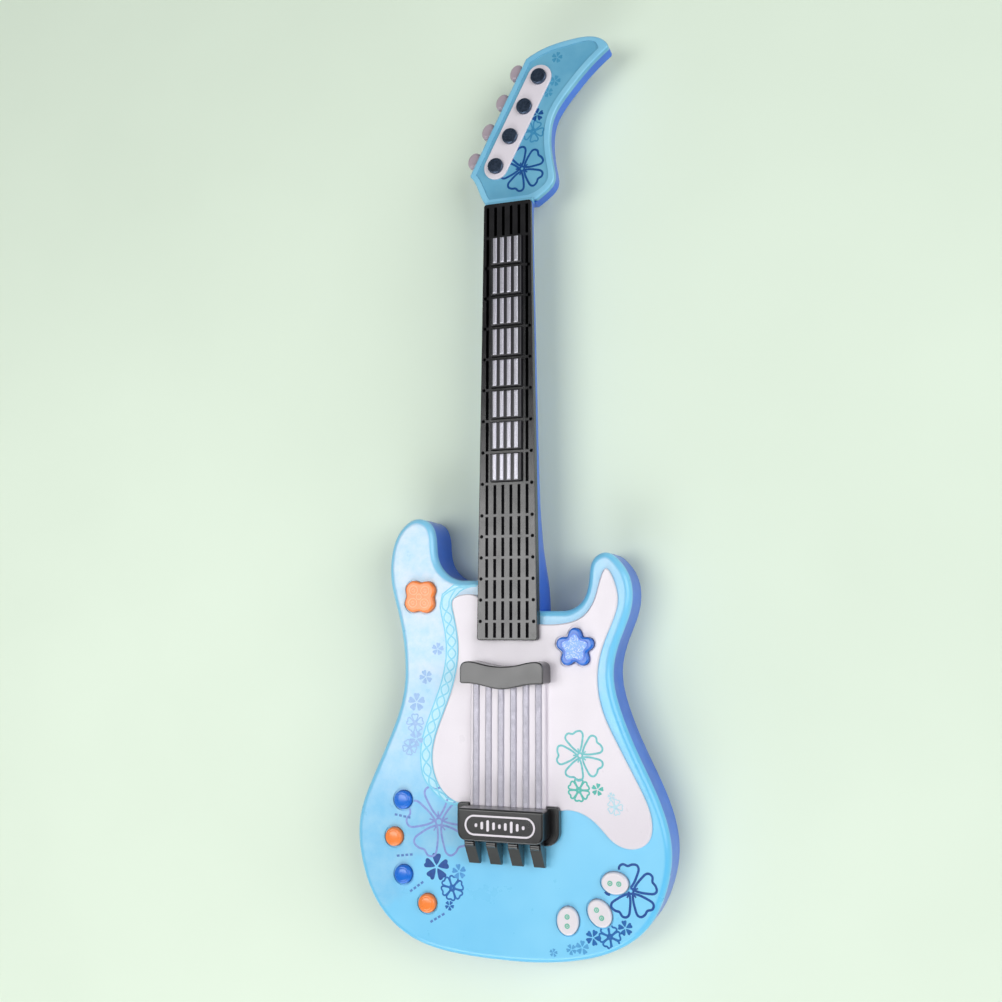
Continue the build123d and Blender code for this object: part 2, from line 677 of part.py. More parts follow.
def main_board():
    """Main circuit board with its sound chip and parts."""
    z1 = BUTTON_BOARD_Z + PCB
    board = box(-32, 32, 2, 46, BUTTON_BOARD_Z, z1)
    board += box(-8, 8, 18, 32, z1 - 0.2, z1 + 2.2)
    for x in (-22, -16, 16, 22):
        board += rod((x, 36), 2.4, z1 - 0.2, z1 + 6)
    for k in range(6):
        board += box(-26 + 8 * k, -22 + 8 * k, 8, 10, z1 - 0.2, z1 + 1)
    return board


def lever_contacts():
    """Rubber contact pads under the strum levers, with posts down through the face."""
    pads = []
    for x in LEVER_XS:
        pads.append(box(x - 1.8, x + 1.8, -51.8, -46.2, SEAM_Z + 1, BRIDGE_BASE_Z + 1.2))
    return Compound(pads)


def lever_board():
    """Small board that carries the strum contacts."""
    return box(-29, 29, -56, -42, SEAM_Z - 0.6, SEAM_Z + 1)


def speaker_frame():
    """Pressed speaker frame, face down over the grille."""
    frame = rod(SPEAKER_AT, 27.3, WALL, 4.0) - rod(SPEAKER_AT, 22, 0, 5)
    cone = Pos(SPEAKER_AT[0], SPEAKER_AT[1], 8) * Cone(24, 15, 8)
    hollow = Pos(SPEAKER_AT[0], SPEAKER_AT[1], 7.6) * Cone(22.6, 13.6, 7.4)
    basket = cone - hollow
    return frame + basket


def speaker_cone():
    """Paper cone inside the frame."""
    outer = Pos(SPEAKER_AT[0], SPEAKER_AT[1], 7.0) * Cone(21.0, 9.0, 6.0)
    inner = Pos(SPEAKER_AT[0], SPEAKER_AT[1], 6.5) * Cone(20.8, 8.6, 6.0)
    return outer - inner


def speaker_magnet():
    """Magnet on the speaker's back."""
    return round_top(rod(SPEAKER_AT, 14, 12, 19.5), 0.8)


def battery_cells():
    """Three AA cells side by side."""
    cells = []
    for k in range(3):
        x = BAY_AT[0] + (k - 1) * 15.6
        cell = Pos(x, BAY_AT[1] - 0.6, 10.4) * Rot(90, 0, 0) * Cylinder(7.1, 49.2)
        tip = Pos(x, BAY_AT[1] + 24.4, 10.4) * Rot(90, 0, 0) * Cylinder(2.7, 1.6)
        cells.append(cell + tip)
    return Compound(cells)


def battery_contacts():
    """Sprung metal contacts at both ends of the bay."""
    plates = []
    for k in range(3):
        x = BAY_AT[0] + (k - 1) * 15.6
        high = BAY_AT[1] + BAY_Y
        low = BAY_AT[1] - BAY_Y
        plates.append(box(x - 5.5, x + 5.5, high - 0.6, high, 4, 16.5))
        plates.append(box(x - 5.5, x + 5.5, low, low + 0.6, 4, 16.5))
    return Compound(plates)


def coil(x, y0, y1, radius, wire, turns):
    """A conical contact spring along Y, as a stack of rings on a strip."""
    rings = []
    for t in range(turns):
        y = y0 + (y1 - y0) * (t + 0.5) / turns
        rings.append(Pos(x, y, 10.4) * Rot(90, 0, 0) * Torus(radius - 0.5 * t, wire))
    return rings


def battery_springs():
    """Conical springs that press the cells."""
    parts = []
    low = BAY_AT[1] - BAY_Y + 0.6
    for k in range(3):
        x = BAY_AT[0] + (k - 1) * 15.6
        parts += coil(x, low, low + 4.6, 4.6, 0.5, 4)
    return Compound(parts)


def battery_door():
    """Flush door over the battery bay."""
    x, y = BAY_AT
    door = box(x - BAY_X - 1, x + BAY_X + 1, y - BAY_Y - 1, y + BAY_Y + 1, 0, 2.1)
    for k in range(7):
        door -= box(x - 14, x + 14, y + 12 + 2 * k, y + 13 + 2 * k, -1, 0.6)
    door -= rod((x, y - 27), 3.0, -1, 0.9)
    return door - rod((x, y - 27), 1.4, -1, 3)


def screw(at, z_head, z_end, head_r, shank_r):
    """A pan-head screw, driven upwards, with a cross recess."""
    body = rod(at, head_r, z_head, z_head + 1.8) + rod(at, shank_r, z_head, z_end)
    cross = box(-0.4, 0.4, -1.6, 1.6, -1, 0.9) + box(-1.6, 1.6, -0.4, 0.4, -1, 0.9)
    return body - Pos(at[0], at[1], z_head) * cross


def shell_screws():
    """Screws that close the two body shells."""
    return Compound([screw(at, 6.2, SEAM_Z + 2.5, 2.8, 1.15) for at in BOSSES])


def door_screw():
    """Battery door's screw."""
    x, y = BAY_AT
    return rod((x, y - 27), 2.7, 0.1, 0.9) - box(x - 2, x + 2, y - 27.4, y - 26.6, -1, 0.6)


def switch_slider():
    """Slide switch's ridged thumb piece."""
    x, y = SWITCH_AT
    slider = box(x - 3 - 2.4, x - 3 + 2.4, y - 2.0, y + 2.0, 0.5, 7.4)
    for k in range(3):
        slider -= box(x - 4.6 + 1.4 * k, x - 4.2 + 1.4 * k, y - 3, y + 3, 0, 0.9)
    return slider


def switch_body():
    """Metal-cased switch behind the slot."""
    x, y = SWITCH_AT
    case = box(x - 10, x + 10, y - 5, y + 5, 5.0, 12)
    case -= box(x - 6, x + 6, y - 2.4, y + 2.4, 4, 8)
    for k in range(3):
        case += box(x - 5 + 4 * k, x - 4 + 4 * k, y - 0.3, y + 0.3, 11.8, 15)
    return case


def wire(points, radius):
    """A lead along straight runs with rounded corners."""
    shortest = min(math.dist(a, b) for a, b in zip(points, points[1:]))
    path = FilletPolyline(*points, radius=0.3 * shortest)
    start = Plane(origin=path @ 0, z_dir=path % 0)
    return sweep(start * Circle(radius), path=path)


def wire_harness():
    """Leads between the boards, the speaker, the switch and the cells."""
    top = BUTTON_BOARD_Z + PCB
    runs = [
        ((-20, 2.0, top - 0.8), (-28, -20, 21), (-23.2, -42, 20), (-22.8, -52, 14)),
        ((-66, 96.8, 22.8), (-52, 76, 22.4), (-33, 52, 22.2), (-28, 46.1, 22.8)),
        ((34.5, 74.5, 22.8), (27, 64, 22.0), (24, 46.1, 22.8)),
        ((-76, -25.9, 22.8), (-56, -4, 22.0), (-32.1, 12, 22.8)),
        ((62, -71.9, 22.8), (54, -30, 21.6), (32.1, 12, 22.8)),
    ]
    return Compound([wire(run, 0.7) for run in runs])


def main():
    """Writes every node."""
    os.makedirs("parts", exist_ok=True)
    nodes = {
        "body_front_shell": body_front_shell, "body_back_shell": body_back_shell,
        "pickguard": pickguard, "neck_shell": neck_shell, "fretboard": fretboard,
        "headstock_front": headstock_front, "tuner_plate": tuner_plate,
        "string_panel": string_panel, "strings": strings, "pickup_cover": pickup_cover,
        "bridge_base": bridge_base, "bridge_block": bridge_block, "bridge_badge": bridge_badge,
        "flower_button": flower_button, "star_button": star_button,
        "button_pads": button_pads, "button_boards": button_boards, "main_board": main_board,
        "neck_board": neck_board, "fret_key_pads": fret_key_pads,
        "lever_contacts": lever_contacts, "lever_board": lever_board,
        "speaker_frame": speaker_frame, "speaker_cone": speaker_cone, "speaker_magnet": speaker_magnet,
        "battery_cells": battery_cells, "battery_contacts": battery_contacts,
        "battery_springs": battery_springs, "battery_door": battery_door, "door_screw": door_screw,
        "shell_screws": shell_screws, "switch_slider": switch_slider, "switch_body": switch_body,
        "wire_harness": wire_harness,
    }
    for name, make in nodes.items():
        write(name, make())
    write("tuner_posts", Compound([tuner_post(k) for k in range(4)]))
    write("lever_pin", lever_pin_solid(PIN_R))
    for k in range(4):
        write(f"tuner_knob_{k + 1}", tuner_knob(k))
        write(f"round_button_{k + 1}", round_button(k))
        write(f"strum_lever_{k + 1}", strum_lever(LEVER_XS[k]))
    for k in range(KEY_COUNT):
        write(f"fret_key_{k + 1}", fret_key(k))
    for k, oval in enumerate(OVALS):
        write(f"oval_button_{k + 1}", oval_button(oval))


main()
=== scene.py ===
"""Looks of the toy electric guitar: camera, light, floor, materials, printed decoration and small details."""

import json
import math
from itertools import groupby

import bpy
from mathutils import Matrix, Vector


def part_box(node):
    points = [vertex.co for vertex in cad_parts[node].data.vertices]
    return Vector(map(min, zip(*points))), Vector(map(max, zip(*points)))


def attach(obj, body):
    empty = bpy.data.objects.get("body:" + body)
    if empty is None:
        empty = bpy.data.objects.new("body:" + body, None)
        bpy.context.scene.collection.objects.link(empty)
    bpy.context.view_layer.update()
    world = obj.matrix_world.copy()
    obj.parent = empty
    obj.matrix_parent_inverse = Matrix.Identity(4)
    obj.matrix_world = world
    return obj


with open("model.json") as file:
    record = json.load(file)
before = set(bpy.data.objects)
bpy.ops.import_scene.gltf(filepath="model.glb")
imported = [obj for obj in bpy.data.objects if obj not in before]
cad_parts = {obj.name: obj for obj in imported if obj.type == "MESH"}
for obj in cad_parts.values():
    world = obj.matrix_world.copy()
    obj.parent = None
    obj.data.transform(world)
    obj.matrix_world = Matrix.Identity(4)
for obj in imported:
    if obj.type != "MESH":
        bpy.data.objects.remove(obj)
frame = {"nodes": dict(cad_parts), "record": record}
MM = 0.001
NODES = frame["nodes"]
SLOT_OF = {row["node"]: row["material_slot"] for row in frame["record"]["subparts"]}


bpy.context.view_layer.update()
bpy.context.view_layer.update()

# Heights above the back face, from the frame
HEAD_BORDER = 0.8 * MM  # raised border round the headstock's field
KEY_RIBS = 1.3 * MM  # ribs on a fret key's cap
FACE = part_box("body_front_shell")[1].z
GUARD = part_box("pickguard")[1].z
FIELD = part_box("headstock_front")[1].z - HEAD_BORDER
KEY_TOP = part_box("fret_key_1")[1].z - KEY_RIBS
BOARD_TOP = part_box("fretboard")[1].z

# Printed shapes: height above the surface, step from one shape to the next, and depth below the surface
PRINT = 0.06 * MM
LAYER = 0.003 * MM
SINK = 0.03 * MM
SKIN = 0.01 * MM  # depth of the moulded plastic's fine grain

# The camera, as solved from the photograph: lens in mm, place in metres, turn in degrees
LENS, SENSOR = 39.797, 36.0
CAMERA_AT = (0.25059, 0.08642, 0.78366)
CAMERA_TURN = (6.6918, 19.0566, 0.1045)

# The nut end of the neck, where the neck shell takes the headstock's lighter blue
NUT_Y, NUT_Z = 396.8 * MM, 36.0 * MM
FLOOR_REACH = 14.0

# Decoration, in mm
LACE_WIDTH = 10.0  # ribbon's widest
LACE_STEP = 3.0  # between the ribbon's cross lines
LENS_RADIUS, LENS_HEIGHT = 4.55, 0.55  # round buttons' lenses
STAR_RADIUS, STAR_DEPTH, STAR_DROP = 8.4, 1.4, 1.0  # panel's middle radius, its points, its shift from the top's box
BLOOM_REACH, BLOOM_RING, BLOOM_EYE, BLOOM_HEART = 6.4, 3.2, 1.2, 2.0  # flower button's relief
OVAL_REACH, OVAL_RING, OVAL_DOT = 3.0, 1.35, 0.6  # oval buttons' marks
DASH_STEP, DASH_LENGTH, DASH_HEIGHT = 3.4, 2.2, 1.6  # dashes by the round buttons


# ---------------------------------------------------------------- camera, light and floor
def set_camera():
    """The camera looks almost straight down, a little from the right and from the body end."""
    data = bpy.data.cameras.new("camera")
    data.lens = LENS
    data.sensor_width = SENSOR
    camera = bpy.data.objects.new("camera", data)
    camera.location = CAMERA_AT
    camera.rotation_euler = [math.radians(a) for a in CAMERA_TURN]
    bpy.context.scene.collection.objects.link(camera)
    bpy.context.scene.camera = camera


def area_light(name, at, aim, size, power, tint=(1, 1, 1)):
    """A soft rectangular light."""
    data = bpy.data.lights.new(name, "AREA")
    data.shape = "RECTANGLE"
    data.size, data.size_y = size
    data.energy = power
    data.color = tint
    light = bpy.data.objects.new(name, data)
    light.location = at
    light.rotation_euler = (Vector(aim) - Vector(at)).to_track_quat("-Z", "Y").to_euler()
    bpy.context.scene.collection.objects.link(light)


def set_light():
    """A softbox up and to the left, two large fills, and a sky that is pale low down and dim overhead."""
    area_light("key", (-0.56, 0.10, 1.5), (-0.56, 0.10, 0.0), (1.0, 0.66), 10.8)
    area_light("fill", (1.7, 0.5, 1.35), (0.0, 0.15, 0.0), (1.4, 1.8), 30.0, (0.97, 0.98, 1.0))
    area_light("low", (-0.3, -1.6, 1.1), (0.0, 0.0, 0.0), (1.6, 0.8), 19.0)
    bpy.context.scene.view_settings.view_transform = "Standard"
    world = bpy.data.worlds.new("sky")
    bpy.context.scene.world = world
    world.use_nodes = True
    tree = world.node_tree
    back = tree.nodes["Background"]
    back.inputs["Color"].default_value = (0.92, 0.97, 0.93, 1)
    place = tree.nodes.new("ShaderNodeTexCoord")
    split = tree.nodes.new("ShaderNodeSeparateXYZ")
    level = tree.nodes.new("ShaderNodeMapRange")
    for socket, value in zip(range(1, 5), (0.02, 0.5, 0.8, 0.12)):
        level.inputs[socket].default_value = value
    tree.links.new(place.outputs["Generated"], split.inputs[0])
    tree.links.new(split.outputs[2], level.inputs[0])
    tree.links.new(level.outputs[0], back.inputs["Strength"])


# ---------------------------------------------------------------- materials
class Graph:
    """A short way to write a material's nodes."""

    def __init__(self, name):
        self.material = bpy.data.materials.new(name)
        self.material.use_nodes = True
        self.tree = self.material.node_tree
        self.shader = self.tree.nodes["Principled BSDF"]
        self.place = self.tree.nodes.new("ShaderNodeTexCoord").outputs["Object"]

    def put(self, socket, value):
        """Links a socket, or sets a plain value."""
        if isinstance(value, bpy.types.NodeSocket):
            self.tree.links.new(value, socket)
        else:
            socket.default_value = value

    def node(self, kind, out=0, inputs=(), **settings):
        """Adds a node, sets it up and returns one of its outputs."""
        made = self.tree.nodes.new(kind)
        for key, value in settings.items():
            setattr(made, key, value)
        for key, value in dict(inputs).items():
            self.put(made.inputs[key], value)
        return made.outputs[out]

    def noise(self, scale, detail=3.0, rough=0.55):
        """Noise in the part's own space; scale is in features per metre."""
        inputs = {"Vector": self.place, "Scale": scale, "Detail": detail, "Roughness": rough}
        return self.node("ShaderNodeTexNoise", inputs=inputs)

    def math(self, operation, a, b=0.0, c=0.0):
        """One sum on two or three values."""
        return self.node("ShaderNodeMath", inputs={0: a, 1: b, 2: c}, operation=operation)

    def range(self, value, low, high, to_low=0.0, to_high=1.0, smooth=False):
        """Maps low..high to to_low..to_high, clamped."""
        kind = "SMOOTHSTEP" if smooth else "LINEAR"
        inputs = {0: value, 1: low, 2: high, 3: to_low, 4: to_high}
        return self.node("ShaderNodeMapRange", inputs=inputs, interpolation_type=kind)

    def mix(self, share, a, b):
        """Mixes two colours."""
        made = self.tree.nodes.new("ShaderNodeMix")
        made.data_type = "RGBA"
        for key, value in ((0, share), (6, a), (7, b)):
            self.put(made.inputs[key], value)
        return made.outputs[2]

    def axis(self, name):
        """One coordinate of the place, in metres."""
        return self.node("ShaderNodeSeparateXYZ", "XYZ".index(name), inputs={0: self.place})

    def facing_up(self):
        """How far the surface faces up, 1 where it lies flat."""
        return self.node("ShaderNodeSeparateXYZ", 2, inputs={0: self.node("ShaderNodeNewGeometry", 1)})

    def bump(self, height, depth):
        """A normal from a height of the given depth in metres."""
        inputs = {"Height": height, "Distance": depth, "Strength": 1.0}
        self.put(self.shader.inputs["Normal"], self.node("ShaderNodeBump", inputs=inputs))

    def skin(self):
        """The grain of moulded plastic: fine, with a slow wave under it."""
        self.bump(self.math("ADD", self.noise(2600, 2), self.math("MULTIPLY", self.noise(60, 2), 2.0)), SKIN)

    def finish(self, colour, rough, metal=0.0, coat=0.0):
        """Sets the main sockets and returns the material."""
        self.put(self.shader.inputs["Base Color"], colour)
        self.put(self.shader.inputs["Roughness"], rough)
        self.shader.inputs["Metallic"].default_value = metal
        self.shader.inputs["Coat Weight"].default_value = coat
        self.shader.inputs["Coat Roughness"].default_value = 0.12
        return self.material


def rgb(text):
    """A linear colour from a hex sRGB value."""
    parts = [int(text[i:i + 2], 16) / 255 for i in (0, 2, 4)]
    return tuple(((c + 0.055) / 1.055) ** 2.4 if c > 0.04045 else c / 12.92 for c in parts) + (1.0,)


def darker(colour, share):
    """The colour times a share."""
    return tuple(c * share for c in colour[:3]) + (1.0,)


def moulded(name, colour, rough=0.3, coat=0.25, tint=0.90):
    """Moulded plastic: faint flow clouds, uneven gloss and a fine skin."""
    g = Graph(name)
    cloud = g.range(g.noise(26, 4), 0.3, 0.7)
    speck = g.range(g.noise(900, 2), 0.35, 0.65)
    tone = g.mix(cloud, darker(colour, tint), colour)
    tone = g.mix(g.math("MULTIPLY", speck, 0.05), tone, darker(colour, 0.75))
    g.skin()
    return g.finish(tone, g.range(g.noise(70, 4), 0.3, 0.7, rough * 0.85, rough * 1.18), coat=coat)


def printed_face():
    """Front shell: sky blue below, fading to a pale marbled print up the left side, with a plain painted shade on
    the rim's fillet.
    """
    g = Graph("face_print")
    slope = g.math("SUBTRACT", g.axis("Y"), g.math("MULTIPLY", g.axis("X"), 0.9))
    cloud = g.noise(34, 5, 0.6)
    drift = g.math("MULTIPLY_ADD", cloud, 0.10, slope)
    sky = g.mix(g.range(g.noise(12, 3), 0.35, 0.65), rgb("74C7F0"), rgb("82D0F4"))
    wash = g.mix(g.range(g.noise(55, 6, 0.65), 0.38, 0.66), rgb("7AC3EA"), rgb("93CDEC"))
    pale = g.mix(g.range(g.noise(60, 6, 0.7), 0.36, 0.66), rgb("A3CEEA"), rgb("CBDDEE"))
    field = g.mix(g.range(drift, 0.024, 0.050, smooth=True), sky, wash)
    field = g.mix(g.range(drift, 0.07, 0.20, smooth=True), field, pale)
    # Painted shade: where the shell stops facing up, on the rim's fillet, it takes a deeper blue, lighter towards
    # the upper left where the light falls.
    on_top = g.range(g.facing_up(), 0.955, 0.995)
    painted_rim_shade = g.mix(g.range(slope, -0.05, 0.15), rgb("62C0EE"), rgb("86CDEE"))
    tone = g.mix(on_top, painted_rim_shade, field)
    g.bump(g.noise(2400, 2), 0.008 * MM)
    return g.finish(tone, g.range(g.noise(60, 4), 0.3, 0.7, 0.26, 0.38), coat=0.35)


def blue_shell():
    """Deep blue moulding, in the headstock's lighter blue across the nut end of the neck."""
    g = Graph("blue_shell")
    cloud = g.range(g.noise(26, 4), 0.3, 0.7)
    blue = g.mix(cloud, rgb("1F5CC4"), rgb("2870DE"))
    near = g.math("MULTIPLY", g.range(g.axis("Y"), NUT_Y, NUT_Y + 0.2 * MM),
                  g.range(g.axis("Z"), NUT_Z, NUT_Z + 0.3 * MM))
    tone = g.mix(near, blue, rgb("72B4D2"))
    g.skin()
    return g.finish(tone, g.range(g.noise(70, 4), 0.3, 0.7, 0.28, 0.38), coat=0.3)


def board_material():
    """Fretboard: glossy black plastic, with the floors of its grooves painted a dead black as painted shade."""
    g = Graph("fretboard")
    # Painted shade: the groove floors get a near-black base with metallic at full, so they reflect almost nothing
    # and stand in for the shade deep in the grooves.
    low = g.range(g.axis("Z"), BOARD_TOP - 0.3 * MM, BOARD_TOP - 0.15 * MM, 1.0, 0.0)
    floor = g.math("MULTIPLY", low, g.range(g.facing_up(), 0.5, 0.6))
    top = g.mix(g.range(g.noise(60, 4), 0.3, 0.7), rgb("121114"), rgb("1B1A1D"))
    material = g.finish(g.mix(floor, top, rgb("050506")), g.range(g.noise(90, 4), 0.3, 0.7, 0.2, 0.28))
    g.put(g.shader.inputs["Metallic"], floor)
    g.put(g.shader.inputs["Specular IOR Level"], 0.75)
    g.bump(g.noise(2400, 2), 0.012 * MM)
    return material


def head_face():
    """Headstock front: a lighter raised border round a slightly deeper field."""
    g = Graph("head_print")
    height = g.range(g.axis("Z"), FIELD + 0.1 * MM, FIELD + 0.5 * MM)
    field = g.mix(g.range(g.noise(40, 5), 0.35, 0.65), rgb("5FA3C4"), rgb("6FB0CC"))
    border = g.mix(g.range(g.noise(30, 3), 0.35, 0.65), rgb("78BBDC"), rgb("88C6E2"))
    g.bump(g.noise(2400, 2), 0.008 * MM)
    return g.finish(g.mix(height, field, border), g.range(g.noise(60, 4), 0.3, 0.7, 0.28, 0.4), coat=0.3)


def key_material():
    """Fret key: black body, metallic silver above the flat of the cap."""
    g = Graph("fret_key")
    on_rib = g.range(g.axis("Z"), KEY_TOP + 0.12 * MM, KEY_TOP + 0.28 * MM)
    flake = g.range(g.noise(3800, 2), 0.3, 0.7)
    silver = g.mix(flake, rgb("9D9BA6"), rgb("D2D0DA"))
    black = g.mix(g.range(g.noise(40, 3), 0.3, 0.7), rgb("1B1A1F"), rgb("2A282E"))
    material = g.finish(g.mix(on_rib, black, silver), 0.34)
    g.put(g.shader.inputs["Metallic"], g.math("MULTIPLY", on_rib, 0.55))
    g.bump(flake, 0.006 * MM)
    return material


def silver_flake():
    """Silver paint with a sparkling flake, for the string panel."""
    g = Graph("string_silver")
    flake = g.range(g.noise(4200, 3), 0.32, 0.68)
    patch = g.range(g.noise(240, 4), 0.3, 0.7)
    tone = g.mix(flake, rgb("98959F"), rgb("C0BDCA"))
    tone = g.mix(g.math("MULTIPLY", patch, 0.25), tone, rgb("8F8D9C"))
    g.bump(flake, 0.008 * MM)
    return g.finish(tone, g.range(patch, 0, 1, 0.32, 0.5), metal=0.35)


def glitter_blue():
    """Clear blue insert with silver glitter."""
    g = Graph("glitter")
    cells = g.node("ShaderNodeTexVoronoi", 1, inputs={"Vector": g.place, "Scale": 1500.0})
    spark = g.range(g.node("ShaderNodeSeparateColor", 0, inputs={0: cells}), 0.72, 0.8)
    tone = g.mix(g.range(g.noise(160, 4), 0.35, 0.65), rgb("2C7CE8"), rgb("4C94EE"))
    g.bump(spark, 0.02 * MM)
    return g.finish(g.mix(spark, tone, rgb("A9C4FF")), 0.22, coat=0.6)


def dark_plate():
    """Dark blue-grey plated metal with fine turning marks."""
    g = Graph("dark_plate")
    tone = g.mix(g.range(g.noise(500, 4), 0.3, 0.7), rgb("364458"), rgb("536178"))
    g.bump(g.noise(1500, 3), 0.01 * MM)
    return g.finish(tone, g.range(g.noise(120, 3), 0.3, 0.7, 0.22, 0.36), metal=0.75)


def brushed_steel():
    """Plated steel with fine scratches along one way."""
    g = Graph("steel")
    stretch = g.node("ShaderNodeMapping", inputs={"Vector": g.place, "Scale": (1.0, 12.0, 1.0)})
    grain = g.node("ShaderNodeTexNoise", inputs={"Vector": stretch, "Scale": 400.0, "Detail": 3.0})
    tone = g.mix(grain, rgb("8C8F95"), rgb("C9CBD0"))
    g.bump(grain, 0.006 * MM)
    return g.finish(tone, g.range(grain, 0.3, 0.7, 0.25, 0.42), metal=0.95)


def circuit():
    """Green solder mask over faint tracks."""
    g = Graph("circuit")
    cells = g.node("ShaderNodeTexBrick", 1, inputs={"Vector": g.place, "Scale": 260.0})
    tone = g.mix(cells, rgb("1E5B38"), rgb("2F7A4C"))
    g.bump(cells, 0.02 * MM)
    return g.finish(tone, g.range(g.noise(200), 0.3, 0.7, 0.35, 0.5))


def soft_matte(name, low, high, rough=0.8):
    """Rubber, paper or ferrite: a soft uneven matte."""
    g = Graph(name)
    g.bump(g.noise(1500, 4), 0.03 * MM)
    tone = g.mix(g.range(g.noise(220, 4), 0.3, 0.7), rgb(low), rgb(high))
    return g.finish(tone, g.range(g.noise(90), 0.3, 0.7, rough - 0.1, rough))


def ink(name, colour, deeper):
    """Printed ink: slightly uneven, with the gloss of the lacquer over it."""
    g = Graph(name)
    tone = g.mix(g.range(g.noise(420, 4), 0.35, 0.7), rgb(colour), rgb(deeper))
    g.bump(g.noise(1800, 2), 0.004 * MM)
    return g.finish(tone, g.range(g.noise(150), 0.3, 0.7, 0.3, 0.4), coat=0.2)


def floor_material():
    """Plain pale sweep."""
    g = Graph("floor")
    tone = g.mix(g.range(g.noise(3, 3), 0.3, 0.7), rgb("DDEBD9"), rgb("E3F1DF"))
    return g.finish(tone, 0.85)


def slot_materials():
    """One material for each of the record's slots."""
    return {
        "sky_shell": printed_face(),
        "blue_shell": blue_shell(),
        "head_blue": head_face(),
        "white_plastic": moulded("white_plastic", rgb("E0D9E1"), 0.32, 0.3, tint=0.965),
        "black_plastic": moulded("black_plastic", rgb("131215"), 0.32, 0.6, tint=0.8),
        "silver_plastic": silver_flake(),
        "dark_metal": dark_plate(),
        "knob_grey": moulded("knob_grey", rgb("B5A6B0"), 0.35, 0.2, tint=0.9),
        "orange_button": moulded("orange_button", rgb("FF8A3C"), 0.3, 0.4, tint=0.9),
        "blue_button": moulded("blue_button", rgb("1070DC"), 0.28, 0.45, tint=0.85),
        "oval_white": moulded("oval_white", rgb("E4DEE4"), 0.32, 0.35, tint=0.96),
        "pad_rubber": soft_matte("pad_rubber", "2A2A2C", "38383A"),
        "circuit_board": circuit(),
        "steel": brushed_steel(),
        "paper_cone": soft_matte("paper_cone", "1C1B1A", "2C2A28"),
        "magnet": soft_matte("magnet", "303033", "44444A", 0.6),
        "cell_wrap": moulded("cell_wrap", rgb("3D7F52"), 0.3, 0.3),
        "wire_sleeve": moulded("wire_sleeve", rgb("B3261E"), 0.45, 0.1),
    }


def dress_nodes(materials):
    """Gives each CAD node its slot's material, or its own where it differs."""
    key = key_material()
    own = {f"fret_key_{k}": key for k in range(1, 9)}
    own["fretboard"] = board_material()
    for name, obj in NODES.items():
        obj.data.materials.clear()
        obj.data.materials.append(own.get(name) or materials[SLOT_OF[name]])


# ---------------------------------------------------------------- pieces
def piece(name, verts, faces, material, body, smooth=False):
    """A mesh piece that rides on a body and takes the material it is given."""
    mesh = bpy.data.meshes.new(name)
    mesh.from_pydata([tuple(v) for v in verts], [], faces)
    mesh.validate()
    for polygon in mesh.polygons:
        polygon.use_smooth = smooth
    mesh.materials.append(material)
    obj = bpy.data.objects.new(name, mesh)
    bpy.context.scene.collection.objects.link(obj)
    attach(obj, body)


def smooth_line(points, steps=5, closed=True):
    """A smooth curve through the points."""
    made = []
    count = len(points)
    last = count if closed else count - 1
    for i in range(last):
        spots = [(i + k) % count if closed else min(max(i + k, 0), count - 1) for k in (-1, 0, 1, 2)]
        p0, p1, p2, p3 = (Vector(points[spot]) for spot in spots)
        for s in range(steps):
            t = s / steps
            made.append(0.5 * (2 * p1 + (p2 - p0) * t + (2 * p0 - 5 * p1 + 4 * p2 - p3) * t * t
                               + (3 * p1 - p0 - 3 * p2 + p3) * t ** 3))
    return made


def on_surface(node, x, y, z):
    """True where the node's surface at a point given in millimetres is at height z in metres."""
    hit, where, _, _ = NODES[node].ray_cast(Vector((x * MM, y * MM, 0.2)), Vector((0, 0, -1)))
    return hit and abs(where.z - z) < 0.1 * MM


